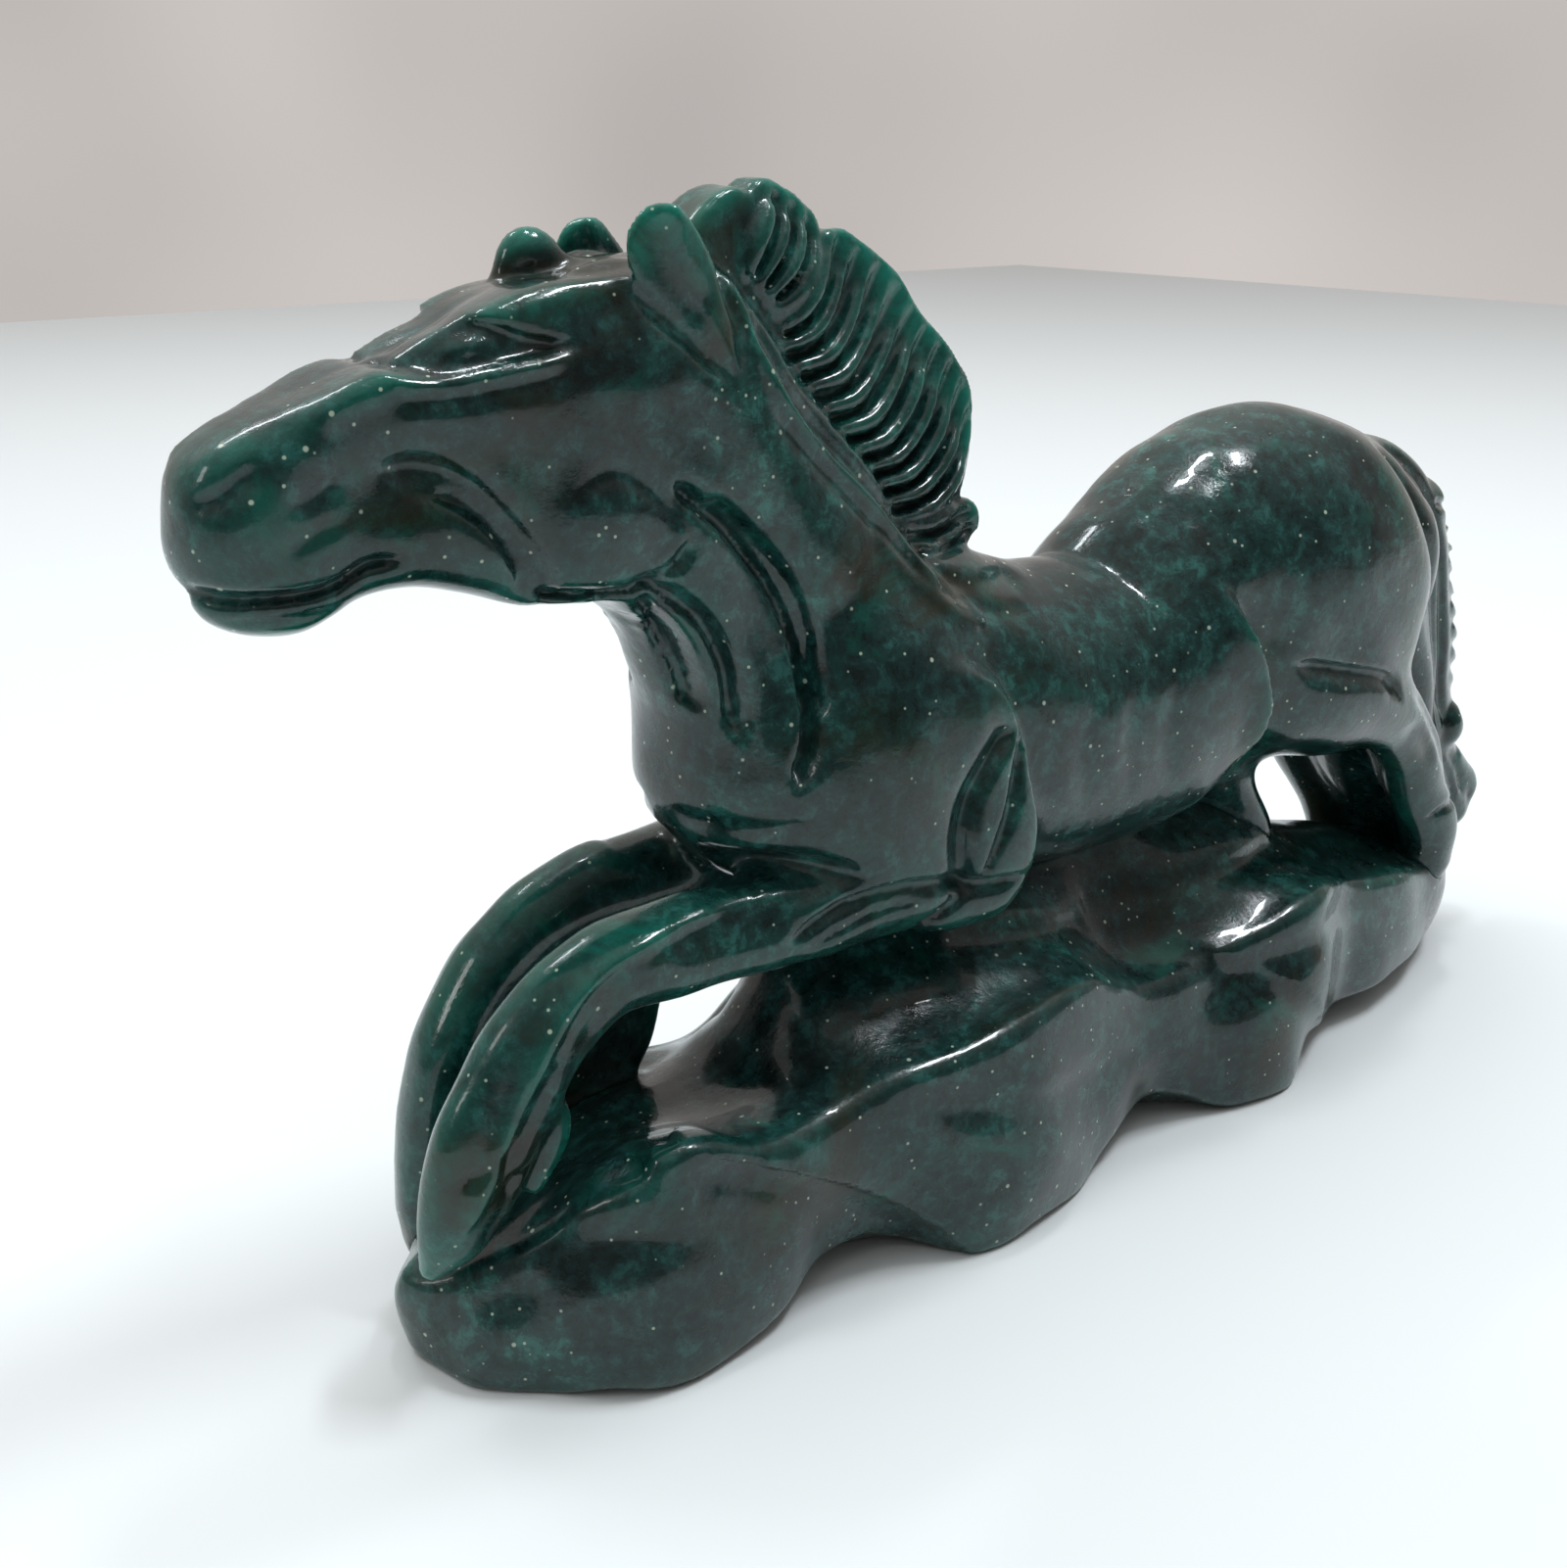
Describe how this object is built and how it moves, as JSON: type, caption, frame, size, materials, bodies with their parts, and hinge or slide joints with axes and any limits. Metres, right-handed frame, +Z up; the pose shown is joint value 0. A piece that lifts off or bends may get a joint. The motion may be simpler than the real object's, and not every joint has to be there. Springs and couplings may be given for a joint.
{
  "type": "jade figurine",
  "caption": "Polished dark green jade carving of a galloping horse stretched out over an undulating rock, free-standing on a flat foot.",
  "frame": {"origin": "centre of the carving's bounding box, on its flat bottom face", "axes": "+Z up, the horse runs along X with its head towards -X, the display side faces -Y"},
  "size_m": [0.2052, 0.0497, 0.1166],
  "materials": {
    "jade": "hand polished dark green jade with lighter green thin edges and pale flecks",
    "rock_jade": "hand polished dark green jade, slightly greyer and softer in shine"
  },
  "bodies": {
    "root": {"horse": "jade", "rock_base": "rock_jade"}
  },
  "joints": []
}
